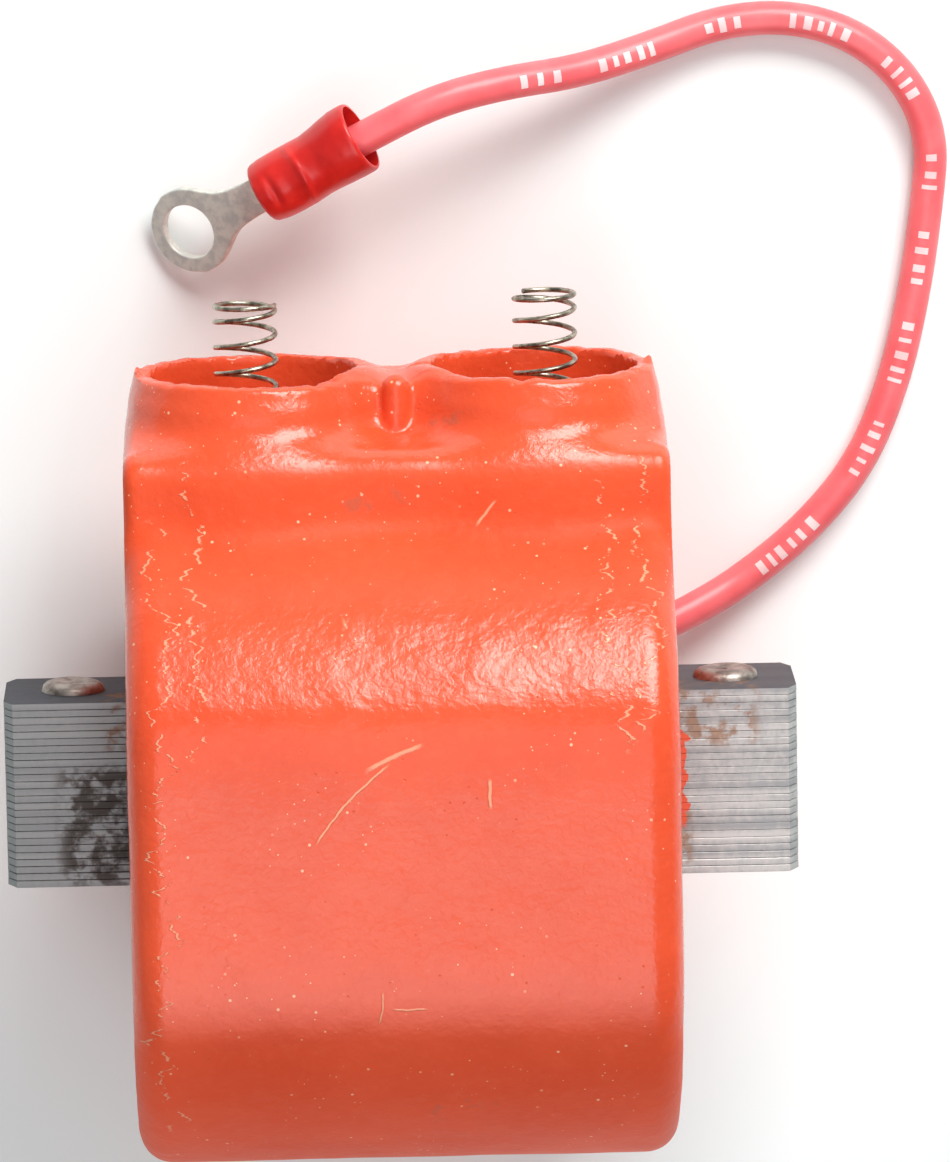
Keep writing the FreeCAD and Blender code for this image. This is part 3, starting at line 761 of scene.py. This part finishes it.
def bent_tongue(points):
    """Flat tongue points (distance from the barrel, side, height) bent down along the real tongue."""
    s, w, t = points[:, 0], points[:, 1], points[:, 2]
    arc = TONGUE_BEND * TONGUE_BEND_R
    angle = np.clip((s - TONGUE_STRAIGHT) / TONGUE_BEND_R, 0, TONGUE_BEND)
    beyond = np.maximum(s - TONGUE_STRAIGHT - arc, 0)
    before = np.minimum(s, TONGUE_STRAIGHT)
    centre_z = TONGUE_LEVEL - TONGUE_BEND_R
    radius = TONGUE_BEND_R + t
    x = -before - np.sin(angle) * radius - np.cos(angle) * beyond
    z = centre_z + np.cos(angle) * radius - np.sin(angle) * beyond
    return np.stack([x, w, z], 1)


def make_terminal(material):
    """Ring, tongue and barrel in one, stamped with slightly rounded edges."""
    ring_s = TONGUE_STRAIGHT + TONGUE_BEND * TONGUE_BEND_R + TONGUE_TO_RING

    def flat(points):
        from_ring = np.hypot(points[:, 0] - ring_s, points[:, 1])
        disc = from_ring - RING_R
        share = np.clip((points[:, 0] - 0.8) / (ring_s - 2.2), 0, 1)
        half_width = 1.6 + 1.5 * share**2
        neck = np.maximum(np.abs(points[:, 1]) - half_width, points[:, 0] - ring_s)
        neck = np.maximum(neck, 0.05 - points[:, 0])
        outline = soft_min(disc, neck, 1.6)
        outline = np.maximum(outline, RING_HOLE_R - from_ring)
        slab = np.abs(points[:, 2]) - TONGUE_T / 2
        return round_meet(outline, slab, 0.12)

    vertices, faces = surface_net(flat, (-1, -4.6, -0.8), (ring_s + 4.6, 4.6, 0.8), 0.13)
    tongue = bent_tongue(vertices)
    outer = [(BARREL_R - 0.35, -0.4), (BARREL_R, -0.15), (BARREL_R, BARREL_END)]
    inner = [(BARREL_BORE_R, BARREL_END), (BARREL_BORE_R, 0.4), (0.75, -0.4)]
    barrel, barrel_faces = lathe(outer + inner, 40)
    joined = np.vstack([tongue, barrel])
    all_faces = [tuple(f) for f in faces] + [tuple(i + len(tongue) for i in f) for f in barrel_faces]
    piece = mesh_piece("stud_ring_terminal", on_terminal(joined), all_faces, material, "coil", 50)
    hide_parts("ring_terminal")
    return piece


def lathe(profile, steps, squash=None):
    """Closed (radius, x) profile turned about X. Squash may change the points of each ring."""
    vertices = []
    for k in range(steps):
        turn = 2 * math.pi * k / steps
        for r, x in profile:
            vertices.append((x, r * math.cos(turn), r * math.sin(turn)))
    count = len(profile)
    faces = []
    for k, i in product(range(steps), range(count)):
        a = k * count + i
        b = k * count + (i + 1) % count
        c = ((k + 1) % steps) * count + (i + 1) % count
        d = ((k + 1) % steps) * count + i
        faces.append((a, b, c, d))
    vertices = np.array(vertices)
    return (vertices if squash is None else squash(vertices)), faces


SLEEVE_PROFILE = [
    (0.0, 2.45), (0.12, 2.66), (0.35, 2.78), (1.1, 2.9), (3.0, 2.94), (5.5, 2.89),
    (6.6, 3.0), (7.9, 3.16), (9.0, 3.24), (10.0, 3.24), (10.25, 3.2), (10.4, 3.1),
]


def make_sleeve(material):
    """Crimped vinyl sleeve: a rounded nose, a dent and a raised line where it was pressed, an open bell."""
    nose_xs = np.linspace(0, 0.4, 7)
    rim_xs = np.linspace(10, SLEEVE_LENGTH, 6)
    xs = np.unique(np.r_[nose_xs, np.linspace(0.4, 10, 64), rim_xs])
    known = np.array(SLEEVE_PROFILE)
    outer = np.interp(xs, known[:, 0], known[:, 1])
    inner = np.interp(xs, [0, BARREL_END, 6.2, 7.9, SLEEVE_LENGTH], [1.58, 1.58, 2.35, 2.7, 2.9])
    profile = list(zip(outer, xs)) + list(zip(inner[::-1], xs[::-1]))

    def pressed(points):
        x, y, z = points.T
        radial = np.hypot(y, z)
        wall = np.clip((radial - 1.7) / 1.0, 0, 1)
        facing = np.clip(z / 2.6, 0, 1)
        upper = np.clip(y / 2.9, 0, 1)
        lower = np.clip(-y / 2.9, 0, 1)
        flare = 0.30 * upper * np.clip((x - 5.2) / 3.6, 0, 1) ** 1.3
        belly = 0.12 * lower * np.exp(-(((x - 3.2) / 2.2) ** 4))
        straight = -0.16 * lower * np.clip((x - 5.6) / 3.0, 0, 1)
        arc = x - 4.8 + 0.09 * y**2
        ridge = 0.17 * facing * np.exp(-((arc / 0.30) ** 2))
        waist = -0.16 * facing**2 * np.exp(-(((x - 3.3) / 0.9) ** 2))
        dent = -0.20 * facing * np.exp(-(((x - 1.75 + 0.05 * y**2) / 0.35) ** 2) - ((y / 1.6) ** 4))
        press = -0.16 * facing * np.exp(-(((x - 6.4) / 0.9) ** 2) - ((y / 1.5) ** 2))
        change = wall * (flare + belly + straight + ridge + waist + dent + press)
        scale = 1 + change / np.maximum(radial, 0.5)
        return np.stack([x, y * scale, z * scale], 1)

    vertices, faces = lathe(profile, 96, pressed)
    piece = mesh_piece("terminal_insulator", on_terminal(vertices), faces, material, "coil", 60)
    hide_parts("terminal_sleeve")
    return piece


# ---------------------------------------------------------------- housing


def drum_distance(p):
    """Round body with flat front and back, before its sides are cut."""
    round_part = np.hypot(p[:, 1] - DRUM_Y, p[:, 2]) - DRUM_R
    flats = np.abs(p[:, 2]) - HALF_DEPTH
    return soft_max(round_part, flats, 1.6)


def lip_height(p, side):
    """Height of a tower's uneven lip, with the mould's flash on its outer end."""
    turn = np.arctan2(p[:, 2], p[:, 0] - side * TOWER_X)
    around = np.stack([np.cos(turn) * 9, np.full(len(p), 7.0 * side), np.sin(turn) * 9], 1)
    height = LIP_Y - LIP_DROP[side]
    height = height + 0.16 * lattice_noise(around, 3.1, 11) + 0.10 * lattice_noise(around, 0.9, 12)
    chip = np.clip(lattice_noise(around, 1.3, 13) - 0.45, 0, 1) * 0.9
    if side < 0:
        flash = 0.75 * np.clip((-21.9 - p[:, 0]) / 0.5, 0, 1)
    else:
        flash = 0.9 * np.clip(1 - np.abs(p[:, 2]) / 1.1, 0, 1) * np.clip((p[:, 0] - 21.3) / 1.2, 0, 1)
    return height - chip + flash


def tower_widths():
    """Heights and the tower's radius and flare at each, from the lip down."""
    heights = np.linspace(WIDTHS_FROM_Y, 0.0, 400)
    known = np.array(TOWER_FLARE)
    flare = np.interp(heights, known[:, 0], known[:, 1])
    drop = -np.diff(heights, prepend=heights[0])
    radii = LIP_R + np.cumsum(flare * drop)
    radii -= np.interp(-LIP_Y, -heights, radii) - LIP_R
    return heights, radii, flare


WIDTHS = tower_widths()


def tower_distance(p, side):
    heights, radii, flare = WIDTHS
    from_axis = np.hypot(p[:, 0] - side * TOWER_X, p[:, 2])
    radius = np.interp(-p[:, 1], -heights, radii)
    slant = np.interp(-p[:, 1], -heights, flare)
    wall = (from_axis - radius) / np.hypot(1, slant)
    wall = np.maximum(wall, -p[:, 1])
    lip = np.full(len(p), -9.0)
    near = p[:, 1] > LIP_Y - 4
    lip[near] = p[near, 1] - lip_height(p[near], side)
    return round_meet(wall, lip, 0.35)


def shoulder_distance(p):
    """Straight step across the whole width, between the drum and the towers."""
    top = p[:, 1] - SHOULDER_TOP_Y - SHOULDER_WAVE * np.cos(p[:, 0] * 0.26)
    block = round_meet(np.abs(p[:, 2]) - SHOULDER_HALF_DEPTH, top, 2.6)
    return np.maximum(block, 8 - p[:, 1])


def socket_distance(p, side):
    from_axis = np.hypot(p[:, 0] - side * TOWER_X, p[:, 2])
    return np.maximum(from_axis - SOCKET_R, SOCKET_FLOOR_Y - p[:, 1])


def web_distance(p):
    """Wall between the towers, slightly saddled, and its front rib."""
    top = LIP_Y - WEB_DROP + 0.25 * (p[:, 0] / 4) ** 2
    wall = round_meet(np.abs(p[:, 2]) - WEB_HALF_DEPTH, p[:, 1] - np.minimum(top, LIP_Y - 0.4), 1.2)
    wall = np.maximum(wall, np.maximum(np.abs(p[:, 0]) - 8, 10 - p[:, 1]))
    along = np.clip(p[:, 1], RIB_LOW_Y, RIB_HIGH_Y)
    rib_line = np.stack([np.full(len(p), 0.1), along, np.full(len(p), 5.5)], 1)
    return wall, np.linalg.norm(p - rib_line, axis=1) - RIB_R


def housing_distance(points):
    """The moulded body. Points are in mm in the model's frame."""
    p = points - (0, 0, MID_Z)
    drum = drum_distance(p)
    drum = round_meet(drum, np.abs(p[:, 0]) - HALF_WIDTH, 2.8)
    towers = soft_min(tower_distance(p, -1), tower_distance(p, 1), 1.0)
    wall, rib = web_distance(p)
    towers = soft_min(towers, wall, 2.0)
    towers = soft_min(towers, shoulder_distance(p), 3.0)
    towers = round_meet(towers, np.abs(p[:, 0]) - HALF_WIDTH, 1.1)
    body = soft_min(drum, towers, 1.6)
    body = soft_min(body, rib, 0.5)
    for side in (-1, 1):
        body = soft_max(body, -socket_distance(p, side), 0.25)
    near = np.abs(body) < 1.5
    body[near] += 0.05 * lattice_noise(points[near], 6.0, 3) + 0.03 * lattice_noise(points[near], 2.2, 4)
    slot_low = (-50, CORE_LOW[1] + SLOT_INSET, CORE_LOW[2] + SLOT_INSET)
    slot_high = (50, CORE_HIGH[1] - SLOT_INSET, CORE_HIGH[2] - SLOT_INSET)
    body = np.maximum(body, -box_distance(points, slot_low, slot_high))
    return np.maximum(body, -box_distance(p, -PACK_HALF, PACK_HALF))


def make_housing(material):
    margin = 1.2
    step = HOUSING_STEP
    vertices, faces = surface_net(housing_distance, BODY_LOW - margin, BODY_HIGH + margin, step)
    vertices = np.clip(vertices, BODY_LOW, BODY_HIGH + (0, FLASH_RISE, 0))
    piece = mesh_piece("moulded_body", vertices, faces, material, "coil", 50)
    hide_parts("coil_housing")
    return piece


# ---------------------------------------------------------------- core

PLATE_COUNT = 26


def make_plates(material):
    """The stack, each plate slightly out of line with its neighbours and eased along its edges."""
    rng = np.random.default_rng(21)
    thickness = (CORE_HIGH[1] - CORE_LOW[1]) / PLATE_COUNT
    half_x = CORE_HIGH[0]
    half_z = (CORE_HIGH[2] - CORE_LOW[2]) / 2
    cut_x, cut_z = 0.8, 1.6
    outline = []
    for sx, sz in ((1, 1), (-1, 1), (-1, -1), (1, -1)):
        corner = [(sx * half_x, sz * (half_z - cut_z)), (sx * (half_x - cut_x), sz * half_z)]
        outline += corner if sx * sz > 0 else corner[::-1]
    outline = np.array(outline)
    vertices = []
    faces = []
    for number in range(PLATE_COUNT):
        bottom = CORE_LOW[1] + number * thickness
        shift = rng.uniform(-0.03, 0.0, 2)
        ease = rng.uniform(0.03, 0.06)
        levels = [(0.012, ease), (ease, 0.0), (thickness - ease * 1.3, 0.0), (thickness - 0.012, ease)]
        base = len(vertices)
        for rise, inset in levels:
            sign = np.sign(outline)
            ring = outline - sign * (inset - shift * 0.5)
            ring = np.clip(ring, -np.array([half_x, half_z]), [half_x, half_z])
            vertices += [(x, bottom + rise, MID_Z + z) for x, z in ring]
        count = len(outline)
        for level, k in product(range(3), range(count)):
            a = base + level * count + k
            b = base + level * count + (k + 1) % count
            faces.append((a, b, b + count, a + count))
        faces.append(tuple(base + k for k in range(count))[::-1])
        faces.append(tuple(base + 3 * count + k for k in range(count)))
    piece = mesh_piece("plate_stack", vertices, faces, material, "coil", 20)
    face_outwards(piece)
    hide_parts("core_laminations")
    return piece


def face_outwards(piece):
    """Merges points that coincide and turns every face outwards."""
    work = bmesh.new()
    work.from_mesh(piece.data)
    bmesh.ops.remove_doubles(work, verts=work.verts, dist=1e-7)
    bmesh.ops.recalc_face_normals(work, faces=work.faces)
    work.to_mesh(piece.data)
    work.free()


def make_rivets(material):
    """Low upset heads, dished in the middle and a little lopsided."""
    low, high = (np.array(c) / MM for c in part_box("core_rivets"))
    head_r = (high[2] - low[2]) / 2
    x_at = high[0] - head_r
    rise = high[1] - CORE_HIGH[1]
    steps = 48
    radii = [0.0, 0.5, 1.0, 1.5, 2.0, 2.4, 2.65, head_r - 0.06, head_r]
    heights = [0.80, 0.82, 0.90, 1.0, 0.96, 0.80, 0.55, 0.25, 0.0]
    vertices = []
    faces = []
    for sx, sy in product((-1, 1), repeat=2):
        base = len(vertices)
        face_y = CORE_HIGH[1] if sy > 0 else CORE_LOW[1]
        for r, h in zip(radii, heights):
            for k in range(steps):
                turn = 2 * math.pi * k / steps
                wobble = 1 + 0.02 * math.sin(2 * turn + sx) * r / head_r
                reach = min(r * wobble, head_r)
                y = face_y + sy * rise * h * (1 + 0.06 * math.sin(turn + 2 * sx)) / 1.06
                vertices.append((sx * x_at + reach * math.cos(turn), y, MID_Z + reach * math.sin(turn)))
        for ring, k in product(range(len(radii) - 1), range(steps)):
            a = base + ring * steps + k
            b = base + ring * steps + (k + 1) % steps
            faces.append((a, b, b + steps, a + steps))
        last = base + (len(radii) - 1) * steps
        faces.append(tuple(last + k for k in range(steps)))
    piece = mesh_piece("rivet_heads", vertices, faces, material, "coil", 60)
    face_outwards(piece)
    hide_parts("core_rivets")
    return piece


# ---------------------------------------------------------------- springs

SPRING_WIRE_R = 0.225
SPRING_PITCH = 2.35
SPRING_CLOSED_TURNS = 0.88
SPRING_EASE = 0.5
TOP_PHASE = {"left": 350.0, "right": 133.0}


def eased(turns):
    """Turns climbed after so many turns from a closed end."""
    past = turns - SPRING_CLOSED_TURNS
    return (np.hypot(past, SPRING_EASE) + past) / 2


def spring_paths(side, low, high):
    """Centrelines of the coil and of its closed top turn, inside a box given by two corners."""
    foot = low[1] + SPRING_WIRE_R
    top = high[1] - SPRING_WIRE_R
    count = (top - foot) / SPRING_PITCH + 2 * (SPRING_CLOSED_TURNS + eased(0))
    radius = (high[0] - low[0]) / 2 - SPRING_WIRE_R
    centre_x = (low[0] + high[0]) / 2
    paths = []
    for first, last in ((0, count - 1), (count - 1, count)):
        turns = np.linspace(first, last, int(40 * (last - first)) + 1)
        from_foot = foot + SPRING_PITCH * (eased(turns) - eased(0))
        from_top = top - SPRING_PITCH * (eased(count - turns) - eased(0))
        share = turns / count
        angle = math.radians(TOP_PHASE[side]) + 2 * math.pi * (turns - count)
        x = centre_x + radius * np.cos(angle)
        z = MID_Z - radius * np.sin(angle)
        paths.append(np.stack([x, from_foot * (1 - share) + from_top * share, z], 1))
    return paths


def make_spring(side, material):
    """The coil, and its closed top turn, which moves as one piece."""
    low = np.array(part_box("contact_spring_" + side)[0]) / MM
    high = np.array(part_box("spring_tip_" + side)[1]) / MM
    coil_path, tip_path = spring_paths(side, low, high)
    vertices, faces = tube_mesh(coil_path, SPRING_WIRE_R, 12)
    coil = mesh_piece("spring_coil_" + side, vertices, faces, material, "coil", 60)
    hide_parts("contact_spring_" + side)
    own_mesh(coil)
    vertices, faces = tube_mesh(tip_path, SPRING_WIRE_R, 12)
    tip = mesh_piece("spring_top_" + side, vertices, faces, material, side + "_contact", 60)
    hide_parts("spring_tip_" + side)


# ---------------------------------------------------------------- the whole scene


def dress_cad_nodes(vinyl):
    """Materials for the CAD nodes that stay as they are, most of them inside the body."""
    paper = vinyl_material("paper", (0.62, 0.47, 0.28), (0.48, 0.34, 0.19), 0.8, 0.0)
    fibre = vinyl_material("fibre", (0.42, 0.27, 0.15), (0.30, 0.18, 0.10), 0.7, 0.0)
    copper = metal_material("enamelled_copper", (0.45, 0.13, 0.05), (0.62, 0.24, 0.10), 0.35)
    brass = metal_material("cup_brass", (0.42, 0.30, 0.12), (0.66, 0.50, 0.22), 0.40)
    solder = metal_material("solder", (0.40, 0.40, 0.40), (0.62, 0.62, 0.62), 0.40)
    wanted = {
        "core_paper_tube": paper,
        "primary_wrap": paper,
        "outer_wrap": paper,
        "end_cheek_left": fibre,
        "end_cheek_right": fibre,
        "primary_winding": copper,
        "secondary_winding": copper,
        "ground_wire": copper,
        "primary_tail": copper,
        "ht_lead_left": copper,
        "ht_lead_right": copper,
        "lead_conductor_end": copper,
        "ht_terminal_left": brass,
        "ht_terminal_right": brass,
        "ground_solder": solder,
        "lead_splice": solder,
        "lead_inner": vinyl,
    }
    for name, material in wanted.items():
        mesh = frame["nodes"][name].data
        mesh.materials.clear()
        mesh.materials.append(material)


make_camera()
make_studio()
lead_vinyl = vinyl_material("lead_vinyl", (0.92, 0.165, 0.18), (0.86, 0.125, 0.14), 0.40, 0.10)
ink = vinyl_material("print_ink", (0.86, 0.74, 0.74), (0.86, 0.55, 0.56), 0.5, 0.0)
lead, marks = make_lead(lead_vinyl, ink)
tin = metal_material("tinned_copper", (0.62, 0.62, 0.58), (0.80, 0.79, 0.71), 0.42, 1.1, 0.03, 0.35)
terminal = make_terminal(tin)
sleeve_vinyl = vinyl_material("sleeve_vinyl", (0.72, 0.024, 0.018), (0.58, 0.012, 0.010), 0.32, 0.05)
sleeve = make_sleeve(sleeve_vinyl)
make_housing(resin_material())
make_plates(steel_edge_material())
make_rivets(metal_material("rivet_steel", (0.20, 0.16, 0.14), (0.46, 0.40, 0.36), 0.45, 0.8, 0.03))
spring_steel = metal_material("spring_steel", (0.20, 0.18, 0.14), (0.52, 0.48, 0.38), 0.30, 1.2, 0.01)
for spring_side in ("left", "right"):
    make_spring(spring_side, spring_steel)
dress_cad_nodes(lead_vinyl)
